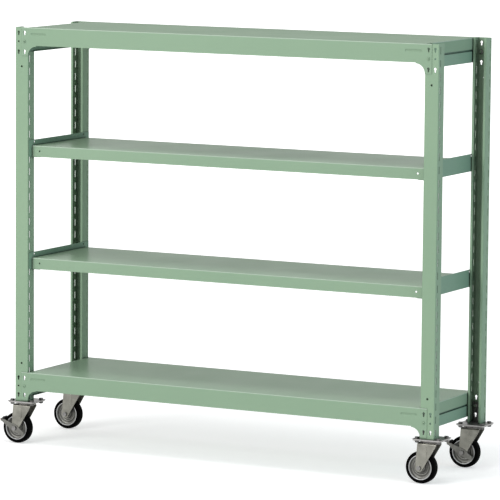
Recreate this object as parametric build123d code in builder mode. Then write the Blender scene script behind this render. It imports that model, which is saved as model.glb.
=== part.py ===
"""Mobile shelving: four slotted posts, two fixed pans, two hook-on shelves and four swivel casters.

Millimetres, +Z up. The origin is on the floor under the middle of the whole footprint.
The long side of the shelving lies along X, and its front faces -Y.
"""
from build123d import *
import os
from math import hypot

os.makedirs("parts", exist_ok=True)

# Overall frame
frame_length = 1480.0
frame_depth = 386.0
post_height = 1200.0
lower_shelf_level = 463.0
upper_shelf_level = 823.0

# Posts: lipped channels with the web to the front or the rear
post_web = 46.5
post_flange = 40.0
post_lip = 8.0
post_sheet = 1.6
post_bend = 2.6
slot_pitch = 40.0
slot_first = 20.0
slot_length = 22.0
slot_width = 4.0
slot_inset = 11.5
end_hole_first = 15.0
end_hole_step = 30.0
end_hole_rows = 3
end_hole_offset = 11.0
foot_keyhole_low = 24.0
foot_keyhole_high = 79.0
end_hole_radius = 3.1
keyhole_head_radius = 4.2
keyhole_tail_width = 5.0
keyhole_drop = 8.0
tie_hole_height = 124.0
tie_hole_radius = 3.5

# Fixed pans at the top and the bottom
pan_sheet = 1.0
pan_bend = 2.2
pan_side_bend = 1.2
pan_skirt = 57.5
pan_tab_height = 90.0
pan_foot_gap = 5.0
pan_gusset_radius = 30.0
pan_side_lip = 36.0
pan_end_gap = 0.5
bead_start = 10.0
bead_length = 56.0
bead_height = 8.5
bead_depth = 1.6
bead_draft_angle = 55.0
bead_below_deck = 21.5

# Hook-on shelves
shelf_sheet = 1.0
shelf_bend = 1.8
shelf_lip = 35.5
shelf_return = 12.0
shelf_front_setback = 23.0
shelf_end_gap = 1.0
shelf_hole_inset = 27.0
shelf_hole_below_deck = 17.0
shelf_hole_radius = 3.0

# Side rails and their tongues
rail_sheet = 1.6
rail_bend = 2.4
rail_height = 55.0
pan_rail_height = 34.5
rail_seat = 28.0
rail_end_inset = 4.0
rail_seat_end_inset = 24.0
rail_hole_inset = 38.0
rail_hole_below_top = 6.5
rail_hole_radius = 3.2
pan_rail_drop = 77.0
rail_set_back = 5.0
rail_strip_height = 16.0
tongue_height = 12.0
tongue_top_gap = 0.3
tongue_least = 5.0
tongue_side_gap = 0.25
hook_drop = 5.0
hook_gap = 0.2
hook_sheet = 1.6

# Hat-section stiffeners under the decks
hat_sheet = 0.8
hat_crown = 36.0
hat_height = 15.0
hat_brim = 12.0
hat_end_gap = 40.0

# Corner bolts and nuts
corner_bolt_radius = 2.9
corner_head_radius = 4.4
corner_socket_flats = 3.0
corner_socket_depth = 1.4
corner_head_height = 2.4
corner_thread_past = 2.0
corner_nut_flats = 10.0
corner_nut_height = 5.0

# Caster base plates, welded to an upstand that is bolted inside the post
base_margin_length = 1.5
base_margin_width = 2.0
base_sheet = 2.6
base_corner = 6.0
base_upstand_width = 38.0
base_upstand_height = 62.0
base_upstand_sheet = 3.0

# Caster bolts and nuts
caster_bolt_radius = 3.9
caster_hole_radius = 4.25
caster_hole_edge_length = 9.5
caster_hole_edge_width = 12.0
caster_head_flats = 13.0
caster_head_height = 5.3
caster_nut_height = 6.5
caster_thread_past = 1.0

# Caster: top plate, ball race and kingpin
caster_height = 139.4
caster_inset_x = 22.5
caster_inset_y = 34.0
caster_trail = 32.0
caster_plate_length = 92.0
caster_plate_width = 80.0
caster_plate_sheet = 2.6
race_radius = 33.0
race_flange = 3.0
race_wall_radius = 29.5
race_wall = 2.0
race_depth = 7.0
ball_radius = 2.5
ball_gap = 0.1
ball_circle_radius = 23.0
ball_count = 8
dish_gap = 0.6
crown_gap = 1.2
kingpin_radius = 6.0
kingpin_head_radius = 10.0
kingpin_head_height = 3.0
running_gap = 0.08

# Caster fork
fork_sheet = 2.8
fork_inside = 38.0
fork_bend = 6.0
fork_top_edge = 8.0
fork_front = 23.5
fork_back = 38.0
fork_hub_radius = 12.0
rib_width = 7.0
rib_proud = 0.8
rib_top_below_crown = 11.0
rib_length = 36.0
rib_ahead = 22.0

# Wheel, tyre, bush and axle
wheel_radius = 50.0
tyre_width = 30.0
tyre_shoulder = 5.0
tyre_depth = 11.0
rim_width = 25.0
rim_sheet = 2.5
web_sheet = 4.0
ring_inner_radius = 19.0
ring_outer_radius = 28.0
ring_sheet = 12.0
ring_slope = 2.5
boss_radius = 14.0
boss_sheet = 18.0
hub_radius = 10.0
hub_length = 36.0
bush_radius = 6.5
bush_end_gap = 0.3
axle_radius = 4.0
axle_head_flats = 13.0
axle_head_height = 5.3
axle_nut_height = 6.5
axle_thread_past = 2.0

# Brake pedal on two of the casters
pedal_sheet = 2.5
pedal_hub_radius = 12.0
pedal_tip_radius = 3.0
pedal_reach_back = 50.0
pedal_reach_up = 26.0
pedal_heel_radius = 6.0
pedal_heel_ahead = 29.0
pedal_heel_drop = 15.0
pedal_tread_sheet = 3.0
pedal_tread_width = 12.0
pedal_tread_reach = 30.0
pedal_cap_wall = 1.6
pedal_cap_length = 22.0
pedal_gap = 0.3
tread_clearance = 4.0

# One overrun for every cut that goes right through
overrun = 5.0

# Worked-out sizes and places
base_length = caster_plate_length + 2 * base_margin_length
base_width = caster_plate_width + 2 * base_margin_width
caster_bolt_pitch_x = caster_plate_length - 2 * caster_hole_edge_length
caster_bolt_pitch_y = caster_plate_width - 2 * caster_hole_edge_width
post_bottom = caster_height + base_sheet
post_top = post_bottom + post_height
axle_height = wheel_radius
tread_radius = wheel_radius + tread_clearance
tip_reach = hypot(pedal_reach_back, pedal_reach_up)
cap_far = (tread_radius + pedal_tread_sheet + pedal_cap_wall) * pedal_reach_back / tip_reach
cap_high = (pedal_tread_width / 2 + pedal_cap_wall) * pedal_reach_up / tip_reach
axle_reach = max(wheel_radius, pedal_reach_back + pedal_tip_radius, cap_far + cap_high)
reach_left = axle_reach + caster_trail - caster_inset_x
reach_right = base_length / 2 - caster_inset_x
frame_x = (reach_left - reach_right) / 2
half_length = frame_length / 2
half_depth = frame_depth / 2

side_names = {-1: "left", 1: "right"}
face_names = {-1: "front", 1: "rear"}
corners = [(side, face) for face in face_names for side in side_names]


def x_at(side, inset):
    """X of a point that lies inset from the outer side face of the frame."""
    return frame_x + side * (half_length - inset)


def y_at(face, inset):
    """Y of a point that lies inset from the outer front or rear face of the frame."""
    return face * (half_depth - inset)


def corner_name(side, face):
    return f"{face_names[face]}_{side_names[side]}"


def save(builder, name):
    builder.part.label = name
    export_step(builder.part, f"parts/{name}.step")


# Posts
slot_count = int(post_height // slot_pitch)
slot_levels = [post_bottom + slot_first + slot_pitch * index for index in range(slot_count)]
end_hole_levels = [end_hole_first + end_hole_step * index for index in range(end_hole_rows)]


foot_keyholes = [post_bottom + foot_keyhole_low, post_bottom + foot_keyhole_high]
head_keyholes = [post_top - end_hole_levels[0], post_top - end_hole_levels[-1]]
foot_bolt_level = post_bottom + pan_foot_gap + pan_tab_height / 2
head_bolt_level = post_top - end_hole_levels[1]


def keyhole(x, level):
    """A keyhole in the open sketch: its head at this level, its tail below."""
    with Locations((x, level)):
        Circle(keyhole_head_radius)
    with Locations((x, level - keyhole_drop / 2)):
        SlotCenterToCenter(keyhole_drop, keyhole_tail_width, rotation=90)


for side, face in corners:
    post_x = x_at(side, post_web / 2)
    post_y = y_at(face, post_flange / 2)
    with BuildPart() as post:
        with BuildSketch(Plane.XY.offset(post_bottom)):
            with Locations((post_x, post_y)):
                RectangleRounded(post_web, post_flange, post_bend)
                RectangleRounded(
                    post_web - 2 * post_sheet,
                    post_flange - 2 * post_sheet,
                    post_bend - post_sheet,
                    mode=Mode.SUBTRACT,
                )
            with Locations((post_x, y_at(face, post_flange))):
                Rectangle(post_web - 2 * post_lip, 3 * post_sheet, mode=Mode.SUBTRACT)
        extrude(amount=post_height)
        # Slots for the side rails, through both flanges
        with BuildSketch(Plane.YZ.offset(post_x)):
            with Locations(*[(y_at(face, slot_inset), level) for level in slot_levels]):
                Rectangle(slot_width, slot_length)
        extrude(amount=post_web, both=True, mode=Mode.SUBTRACT)
        # Keyholes, round holes and the two tie holes in the web
        with BuildSketch(Plane.XZ.offset(-y_at(face, 0))):
            for column in (-end_hole_offset, end_hole_offset):
                for level in foot_keyholes + head_keyholes:
                    keyhole(post_x + column, level)
                for level in (foot_bolt_level, head_bolt_level):
                    with Locations((post_x + column, level)):
                        Circle(end_hole_radius)
            for level in (post_bottom + tie_hole_height, post_top - tie_hole_height):
                with Locations((post_x, level)):
                    Circle(tie_hole_radius)
        extrude(amount=2 * post_sheet, both=True, mode=Mode.SUBTRACT)
    save(post, f"post_{corner_name(side, face)}")

# Fixed pans
pan_levels = {"bottom": post_bottom + pan_foot_gap + pan_tab_height, "top": post_top}
pan_keyholes = {"bottom": foot_keyholes, "top": head_keyholes}
pan_inset = post_web + pan_end_gap
tab_inset = post_web / 2
pan_depth = frame_depth + 2 * pan_sheet
pan_length = frame_length - 2 * pan_inset
gusset_inset = post_web + pan_gusset_radius
tab_column = post_web / 2 + end_hole_offset

for pan_name, deck in pan_levels.items():
    tab_bottom = deck - pan_tab_height
    with BuildPart() as pan:
        # Deck with its front and rear skirts
        with BuildSketch(Plane.YZ.offset(x_at(-1, pan_inset))) as channel:
            with Locations((0, deck - pan_skirt / 2)):
                Rectangle(pan_depth, pan_skirt)
            with Locations((0, deck - pan_sheet - pan_skirt / 2)):
                Rectangle(frame_depth, pan_skirt, mode=Mode.SUBTRACT)
            fillet(channel.vertices().group_by(Axis.Y)[-1], pan_bend)
            fillet(channel.vertices().group_by(Axis.Y)[-2], pan_bend - pan_sheet)
        extrude(amount=pan_length)
        # Side lips, then the rounded bends of the two sides
        with BuildSketch(Plane.XY.offset(deck - pan_side_lip)):
            for side in side_names:
                with Locations((x_at(side, pan_inset + pan_sheet / 2), 0)):
                    Rectangle(pan_sheet, frame_depth)
        extrude(amount=pan_side_lip - pan_sheet / 2)
        with BuildSketch(Plane.XZ) as side_outline:
            with Locations((frame_x, deck - pan_skirt / 2)):
                Rectangle(pan_length, pan_skirt)
            fillet(side_outline.vertices().group_by(Axis.Y)[-1], pan_side_bend)
        extrude(amount=frame_depth, both=True, mode=Mode.INTERSECT)
        # Gusset tabs that lap the posts outside
        for face in face_names:
            with BuildSketch(Plane.XZ.offset(-y_at(face, 0))):
                for side in side_names:
                    tab_middle = (tab_inset + pan_inset) / 2
                    with Locations((x_at(side, tab_middle), deck - pan_tab_height / 2)):
                        Rectangle(pan_inset - tab_inset, pan_tab_height)
                    gusset_middle = (pan_inset + gusset_inset) / 2
                    gusset_level = (tab_bottom + deck - pan_skirt) / 2
                    with Locations((x_at(side, gusset_middle), gusset_level)):
                        Rectangle(gusset_inset - pan_inset, pan_tab_height - pan_skirt)
                    with Locations((x_at(side, gusset_inset), tab_bottom)):
                        Circle(pan_gusset_radius, mode=Mode.SUBTRACT)
            extrude(amount=-face * pan_sheet)
        # Pressed beads near the ends of the skirts
        for face in face_names:
            bead_middle = post_web + bead_start + bead_length / 2
            bead_sites = [(x_at(s, bead_middle), deck - bead_below_deck) for s in side_names]
            # The back of the bead stands in by its depth, then the front is pressed in
            with BuildSketch(Plane.XZ.offset(-y_at(face, 0))):
                with Locations(*bead_sites):
                    SlotOverall(bead_length + pan_sheet, bead_height + pan_sheet)
            extrude(amount=face * bead_depth, taper=bead_draft_angle)
            with BuildSketch(Plane.XZ.offset(-y_at(face, -pan_sheet))):
                with Locations(*bead_sites):
                    SlotOverall(bead_length, bead_height)
            extrude(amount=face * bead_depth, taper=bead_draft_angle, mode=Mode.SUBTRACT)
            # Keyholes and bolt holes of the tabs, in line with the posts
            with BuildSketch(Plane.XZ.offset(-y_at(face, 0))):
                for side in side_names:
                    for level in pan_keyholes[pan_name]:
                        keyhole(x_at(side, tab_column), level)
                    with Locations((x_at(side, tab_column), deck - pan_tab_height / 2)):
                        Circle(end_hole_radius)
            extrude(amount=2 * pan_sheet, both=True, mode=Mode.SUBTRACT)
    save(pan, f"{pan_name}_shelf")

# Hook-on shelves
shelf_levels = {
    "lower": post_bottom + lower_shelf_level,
    "upper": post_bottom + upper_shelf_level,
}
shelf_inset = post_web + rail_sheet + shelf_end_gap
shelf_length = frame_length - 2 * shelf_inset
shelf_depth = frame_depth - 2 * shelf_front_setback

for shelf_name, deck in shelf_levels.items():
    with BuildPart() as shelf:
        # Deck, front and rear lips and their returns
        with BuildSketch(Plane.YZ.offset(x_at(-1, shelf_inset))) as channel:
            with Locations((0, deck - shelf_lip / 2)):
                Rectangle(shelf_depth, shelf_lip)
                Rectangle(
                    shelf_depth - 2 * shelf_sheet,
                    shelf_lip - 2 * shelf_sheet,
                    mode=Mode.SUBTRACT,
                )
            with Locations((0, deck - shelf_lip)):
                Rectangle(shelf_depth - 2 * shelf_return, 3 * shelf_sheet, mode=Mode.SUBTRACT)
            fillet(channel.vertices().group_by(Axis.Y)[-1], shelf_bend)
            fillet(channel.vertices().group_by(Axis.Y)[-2], shelf_bend - shelf_sheet)
        extrude(amount=shelf_length)
        # End lips, then the rounded bends of the two ends
        with BuildSketch(Plane.XY.offset(deck - shelf_lip)):
            for side in side_names:
                with Locations((x_at(side, shelf_inset + shelf_sheet / 2), 0)):
                    Rectangle(shelf_sheet, shelf_depth - 2 * shelf_sheet)
        extrude(amount=shelf_lip - shelf_sheet / 2)
        with BuildSketch(Plane.XZ) as end_outline:
            with Locations((frame_x, deck - shelf_lip / 2)):
                Rectangle(shelf_length, shelf_lip)
            fillet(end_outline.vertices().group_by(Axis.Y)[-1], pan_side_bend)
        extrude(amount=frame_depth, both=True, mode=Mode.INTERSECT)
        # Label-rail holes in the front and rear lips
        hole_inset = shelf_inset + shelf_hole_inset
        for face in face_names:
            with BuildSketch(Plane.XZ.offset(-y_at(face, shelf_front_setback))):
                hole_level = deck - shelf_hole_below_deck
                with Locations(*[(x_at(side, hole_inset), hole_level) for side in side_names]):
                    Circle(shelf_hole_radius)
            extrude(amount=2 * shelf_sheet, both=True, mode=Mode.SUBTRACT)
    save(shelf, f"{shelf_name}_shelf")

# Side rails, hooked into the slots of the inner flanges
rail_bottoms = {
    "bottom": pan_levels["bottom"] - pan_rail_drop,
    "lower": shelf_levels["lower"] - shelf_lip - rail_sheet,
    "upper": shelf_levels["upper"] - shelf_lip - rail_sheet,
    "top": pan_levels["top"] - pan_rail_drop,
}
rail_heights = {
    "bottom": pan_rail_height,
    "lower": rail_height,
    "upper": rail_height,
    "top": pan_rail_height,
}
rail_insets = {
    "bottom": pan_inset + pan_sheet,
    "lower": post_web,
    "upper": post_web,
    "top": pan_inset + pan_sheet,
}
tongue_width = slot_width - 2 * tongue_side_gap
hook_outer = post_web - post_sheet - hook_gap - hook_sheet


def tongue_spans(bottom, height):
    """Bottom and top of each tongue of a rail, which stands on the lower end of a slot."""
    spans = []
    root = bottom + rail_bend
    for level in slot_levels:
        seat = level - slot_length / 2
        slot_top = level + slot_length / 2 - tongue_top_gap
        top = min(max(seat, root) + tongue_height, slot_top, bottom + height)
        if top - max(seat, root) > tongue_least:
            spans.append((seat, top))
    return spans


for rail_name, bottom in rail_bottoms.items():
    height = rail_heights[rail_name]
    rail_inset = rail_insets[rail_name]
    rail_middle = (rail_inset + rail_inset + rail_seat) / 2
    rail_length = frame_depth - 2 * rail_end_inset
    seat_length = frame_depth - 2 * rail_seat_end_inset
    for side in side_names:
        with BuildPart() as rail:
            # Upright with the seat that carries the shelf
            with BuildSketch(Plane.XZ.offset(-seat_length / 2)) as angle:
                with Locations((x_at(side, rail_middle), bottom + height / 2)):
                    Rectangle(rail_seat, height)
                inner_middle = rail_middle + rail_sheet
                with Locations((x_at(side, inner_middle), bottom + rail_sheet + height / 2)):
                    Rectangle(rail_seat, height, mode=Mode.SUBTRACT)
                heel = (x_at(side, rail_inset), bottom)
                fillet(angle.vertices().sort_by_distance(heel)[0], rail_bend)
                root = (x_at(side, rail_inset + rail_sheet), bottom + rail_sheet)
                fillet(angle.vertices().sort_by_distance(root)[0], rail_bend - rail_sheet)
            extrude(amount=seat_length)
            # The upright alone runs on to the slots of the posts
            with BuildSketch(Plane.XZ.offset(-rail_length / 2)):
                upright_height = height - rail_bend
                upright_level = bottom + rail_bend + upright_height / 2
                with Locations((x_at(side, rail_inset + rail_sheet / 2), upright_level)):
                    Rectangle(rail_sheet, upright_height)
                # A pan rail steps back at its top and closes the gap behind the side lip
                if rail_name in pan_levels:
                    ledge_middle = rail_inset + (rail_set_back + rail_sheet) / 2
                    ledge_level = bottom + height - rail_sheet / 2
                    with Locations((x_at(side, ledge_middle), ledge_level)):
                        Rectangle(rail_set_back + rail_sheet, rail_sheet)
                    strip_inset = rail_inset + rail_set_back + rail_sheet / 2
                    strip_level = bottom + height + rail_strip_height / 2
                    with Locations((x_at(side, strip_inset), strip_level)):
                        Rectangle(rail_sheet, rail_strip_height)
            extrude(amount=rail_length)
            # Tongues through the slots, with hooks behind the flange
            for face in face_names:
                for seat, top in tongue_spans(bottom, height):
                    with BuildSketch(Plane.XY.offset(seat)):
                        tongue_middle = (hook_outer + rail_inset + rail_sheet / 2) / 2
                        tongue_length = rail_inset + rail_sheet / 2 - hook_outer
                        with Locations((x_at(side, tongue_middle), y_at(face, slot_inset))):
                            Rectangle(tongue_length, tongue_width)
                    extrude(amount=top - seat)
                    with BuildSketch(Plane.XY.offset(seat - hook_drop)):
                        hook_middle = hook_outer + hook_sheet / 2
                        with Locations((x_at(side, hook_middle), y_at(face, slot_inset))):
                            Rectangle(hook_sheet, tongue_width)
                    extrude(amount=hook_drop + tongue_least / 2)
            # The rails of the hook-on shelves have one hole near each end, close to the top
            if rail_name in shelf_levels:
                with BuildSketch(Plane.YZ.offset(x_at(side, rail_inset))):
                    level = bottom + height - rail_hole_below_top
                    with Locations(*[(y_at(face, rail_hole_inset), level) for face in face_names]):
                        Circle(rail_hole_radius)
                extrude(amount=2 * rail_sheet, both=True, mode=Mode.SUBTRACT)
        save(rail, f"{rail_name}_side_rail_{side_names[side]}")

# Hat-section stiffeners under the four decks
hat_decks = {
    "bottom": pan_levels["bottom"] - pan_sheet,
    "lower": shelf_levels["lower"] - shelf_sheet,
    "upper": shelf_levels["upper"] - shelf_sheet,
    "top": pan_levels["top"] - pan_sheet,
}
hat_length = frame_length - 2 * (shelf_inset + hat_end_gap)

for hat_name, underside in hat_decks.items():
    with BuildPart() as hat:
        with BuildSketch(Plane.YZ.offset(frame_x - hat_length / 2)):
            with Locations((0, underside - hat_height / 2)):
                Rectangle(hat_crown, hat_height)
            with Locations((0, underside - (hat_height - hat_sheet) / 2)):
                Rectangle(hat_crown - 2 * hat_sheet, hat_height - hat_sheet, mode=Mode.SUBTRACT)
            with Locations((0, underside - hat_sheet / 2)):
                Rectangle(hat_crown + 2 * hat_brim, hat_sheet)
                Rectangle(hat_crown - 2 * hat_sheet, hat_sheet, mode=Mode.SUBTRACT)
        extrude(amount=hat_length)
    save(hat, f"{hat_name}_stiffener")

# Corner bolts through the tabs and the posts, with their nuts inside
corner_bolt_sites = []
for side, face in corners:
    corner_bolt_sites.append((side, face, foot_bolt_level, base_upstand_sheet))
    corner_bolt_sites.append((side, face, head_bolt_level, 0))

with BuildPart() as corner_bolts:
    for side, face, level, packing in corner_bolt_sites:
        bolt_x = x_at(side, tab_column)
        with BuildSketch(Plane.XZ.offset(-y_at(face, -pan_sheet))):
            with Locations((bolt_x, level)):
                Circle(corner_head_radius)
        extrude(amount=-face * corner_head_height)
        # Hexagon socket in the head
        with BuildSketch(Plane.XZ.offset(-y_at(face, -pan_sheet - corner_head_height))):
            with Locations((bolt_x, level)):
                RegularPolygon(corner_socket_flats / 2, 6, major_radius=False)
        extrude(amount=face * corner_socket_depth, mode=Mode.SUBTRACT)
        shank = pan_sheet + post_sheet + packing + corner_nut_height + corner_thread_past
        with BuildSketch(Plane.XZ.offset(-y_at(face, -pan_sheet))):
            with Locations((bolt_x, level)):
                Circle(corner_bolt_radius)
        extrude(amount=face * shank)
save(corner_bolts, "corner_bolts")

with BuildPart() as corner_nuts:
    for side, face, level, packing in corner_bolt_sites:
        with BuildSketch(Plane.XZ.offset(-y_at(face, post_sheet + packing))):
            with Locations((x_at(side, tab_column), level)):
                RegularPolygon(corner_nut_flats / 2, 6, major_radius=False)
                Circle(corner_bolt_radius + running_gap, mode=Mode.SUBTRACT)
        extrude(amount=face * corner_nut_height)
save(corner_nuts, "corner_nuts")

# Caster base plates with their upstands
for side, face in corners:
    axis_x = x_at(side, caster_inset_x)
    axis_y = y_at(face, caster_inset_y)
    with BuildPart() as base:
        with BuildSketch(Plane.XY.offset(caster_height)):
            with Locations((axis_x, axis_y)):
                RectangleRounded(base_length, base_width, base_corner)
                with GridLocations(caster_bolt_pitch_x, caster_bolt_pitch_y, 2, 2):
                    Circle(caster_hole_radius, mode=Mode.SUBTRACT)
        extrude(amount=base_sheet)
        with BuildSketch(Plane.XY.offset(post_bottom)):
            upstand_inset = post_sheet + base_upstand_sheet / 2
            with Locations((x_at(side, post_web / 2), y_at(face, upstand_inset))):
                Rectangle(base_upstand_width, base_upstand_sheet)
        extrude(amount=base_upstand_height)
        # The same holes as the post has at its foot
        with BuildSketch(Plane.XZ.offset(-y_at(face, post_sheet))):
            for column in (-end_hole_offset, end_hole_offset):
                hole_x = x_at(side, post_web / 2) + column
                with Locations((hole_x, foot_bolt_level)):
                    Circle(end_hole_radius)
                keyhole(hole_x, foot_keyholes[0])
        extrude(amount=2 * base_upstand_sheet, both=True, mode=Mode.SUBTRACT)
    save(base, f"caster_base_{corner_name(side, face)}")

# Caster bolts and nuts
clamped = base_sheet + caster_plate_sheet
caster_bolt_length = clamped + caster_nut_height + caster_thread_past
caster_bolt_axes = []
for side, face in corners:
    for step_x in (-1, 1):
        for step_y in (-1, 1):
            bolt_x = x_at(side, caster_inset_x) + step_x * caster_bolt_pitch_x / 2
            bolt_y = y_at(face, caster_inset_y) + step_y * caster_bolt_pitch_y / 2
            caster_bolt_axes.append((bolt_x, bolt_y))

with BuildPart() as caster_bolts:
    with BuildSketch(Plane.XY.offset(post_bottom)):
        with Locations(*caster_bolt_axes):
            RegularPolygon(caster_head_flats / 2, 6, major_radius=False)
    extrude(amount=caster_head_height)
    with BuildSketch(Plane.XY.offset(post_bottom)):
        with Locations(*caster_bolt_axes):
            Circle(caster_bolt_radius)
    extrude(amount=-caster_bolt_length)
save(caster_bolts, "caster_bolts")

with BuildPart() as caster_nuts:
    with BuildSketch(Plane.XY.offset(caster_height - caster_plate_sheet)):
        with Locations(*caster_bolt_axes):
            RegularPolygon(caster_head_flats / 2, 6, major_radius=False)
            Circle(caster_bolt_radius + running_gap, mode=Mode.SUBTRACT)
    extrude(amount=-caster_nut_height)
save(caster_nuts, "caster_nuts")

# Caster top plates with the upper ball race
plate_bottom = caster_height - caster_plate_sheet
race_bottom = plate_bottom - race_depth
crown_top = race_bottom - crown_gap
crown_bottom = crown_top - fork_sheet
dish_top = plate_bottom - 2 * ball_radius - 2 * ball_gap
kingpin_bore = kingpin_radius + running_gap

for side, face in corners:
    axis_x = x_at(side, caster_inset_x)
    axis_y = y_at(face, caster_inset_y)
    with BuildPart() as plate:
        with BuildSketch(Plane.XY.offset(plate_bottom)):
            with Locations((axis_x, axis_y)):
                RectangleRounded(caster_plate_length, caster_plate_width, base_corner)
                Circle(kingpin_bore, mode=Mode.SUBTRACT)
                with GridLocations(caster_bolt_pitch_x, caster_bolt_pitch_y, 2, 2):
                    Circle(caster_hole_radius, mode=Mode.SUBTRACT)
        extrude(amount=caster_plate_sheet)
        # Round race: a wide flange under the plate, then the wall round the balls
        for radius, depth in ((race_radius, race_flange), (race_wall_radius, race_depth)):
            with BuildSketch(Plane.XY.offset(plate_bottom)):
                with Locations((axis_x, axis_y)):
                    Circle(radius)
                    Circle(race_wall_radius - race_wall, mode=Mode.SUBTRACT)
            extrude(amount=-depth)
    save(plate, f"caster_plate_{corner_name(side, face)}")

# Kingpins, riveted through the plates, with their heads under the fork crowns
axes = [(x_at(side, caster_inset_x), y_at(face, caster_inset_y)) for side, face in corners]

with BuildPart() as kingpins:
    with BuildSketch(Plane.XY.offset(caster_height)):
        with Locations(*axes):
            Circle(kingpin_radius)
    extrude(amount=crown_bottom - ball_gap - caster_height)
    with BuildSketch(Plane.XY.offset(crown_bottom - ball_gap)):
        with Locations(*axes):
            Circle(kingpin_head_radius)
    extrude(amount=-kingpin_head_height)
save(kingpins, "kingpins")

# Balls of the four swivel races
ball_level = plate_bottom - ball_gap - ball_radius

with BuildPart() as balls:
    for axis_x, axis_y in axes:
        with Locations((axis_x, axis_y, ball_level)):
            with PolarLocations(ball_circle_radius, ball_count):
                Sphere(ball_radius)
save(balls, "swivel_balls")

# Forks: a bent channel trimmed to the side outline of its legs
fork_width = fork_inside + 2 * fork_sheet
axle_bore = axle_radius + running_gap
hub_bottom = axle_height - fork_hub_radius

for side, face in corners:
    axis_x = x_at(side, caster_inset_x)
    axis_y = y_at(face, caster_inset_y)
    wheel_x = axis_x - caster_trail
    leg_reach = max(fork_back, caster_trail + fork_hub_radius)
    with BuildPart() as fork:
        fork_height = crown_top - hub_bottom
        with BuildSketch(Plane.YZ.offset(axis_x - leg_reach)) as bent:
            with Locations((axis_y, crown_top - fork_height / 2)):
                Rectangle(fork_width, fork_height)
            with Locations((axis_y, crown_bottom - fork_height / 2)):
                Rectangle(fork_inside, fork_height, mode=Mode.SUBTRACT)
            fillet(bent.vertices().group_by(Axis.Y)[-1], fork_bend)
            inner_corners = bent.vertices().group_by(Axis.Y)[-2]
            fillet(inner_corners, fork_bend - fork_sheet)
        extrude(amount=leg_reach + fork_front)
        with BuildSketch(Plane.XZ.offset(-axis_y)):
            crown_length = fork_back + fork_front
            crown_middle = axis_x + (fork_front - fork_back) / 2
            with Locations((crown_middle, crown_top - fork_top_edge / 2)):
                Rectangle(crown_length, fork_top_edge)
            with Locations((wheel_x, axle_height)):
                Circle(fork_hub_radius)
            make_hull()
        extrude(amount=fork_width, both=True, mode=Mode.INTERSECT)
        # Pressed rib down each leg
        with BuildSketch(Plane.XZ.offset(-axis_y)):
            rib_level = crown_top - rib_top_below_crown - rib_length / 2
            with Locations((wheel_x + rib_ahead, rib_level)):
                SlotOverall(rib_length, rib_width, rotation=90)
        extrude(amount=fork_width / 2 + rib_proud, both=True)
        with BuildSketch(Plane.XZ.offset(-axis_y)):
            with Locations((wheel_x + rib_ahead, rib_level)):
                SlotOverall(rib_length + overrun, rib_width + overrun, rotation=90)
        extrude(amount=fork_inside / 2, both=True, mode=Mode.SUBTRACT)
        # Lower race dish, kingpin bore and axle bores
        with BuildSketch(Plane.XY.offset(crown_top)):
            with Locations((axis_x, axis_y)):
                Circle(race_wall_radius - race_wall - dish_gap)
        extrude(amount=dish_top - crown_top)
        with BuildSketch(Plane.XY.offset(crown_bottom)):
            with Locations((axis_x, axis_y)):
                Circle(kingpin_bore)
        extrude(amount=dish_top - crown_bottom, mode=Mode.SUBTRACT)
        with BuildSketch(Plane.XZ.offset(-axis_y)):
            with Locations((wheel_x, axle_height)):
                Circle(axle_bore)
        extrude(amount=fork_width, both=True, mode=Mode.SUBTRACT)
    save(fork, f"fork_{corner_name(side, face)}")

# Wheels, tyres, bushes and axles
braked = [(-1, -1), (1, 1)]
bush_length = fork_inside - 2 * bush_end_gap
wheel_bore = bush_radius + running_gap
rim_radius = wheel_radius - tyre_depth

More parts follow.
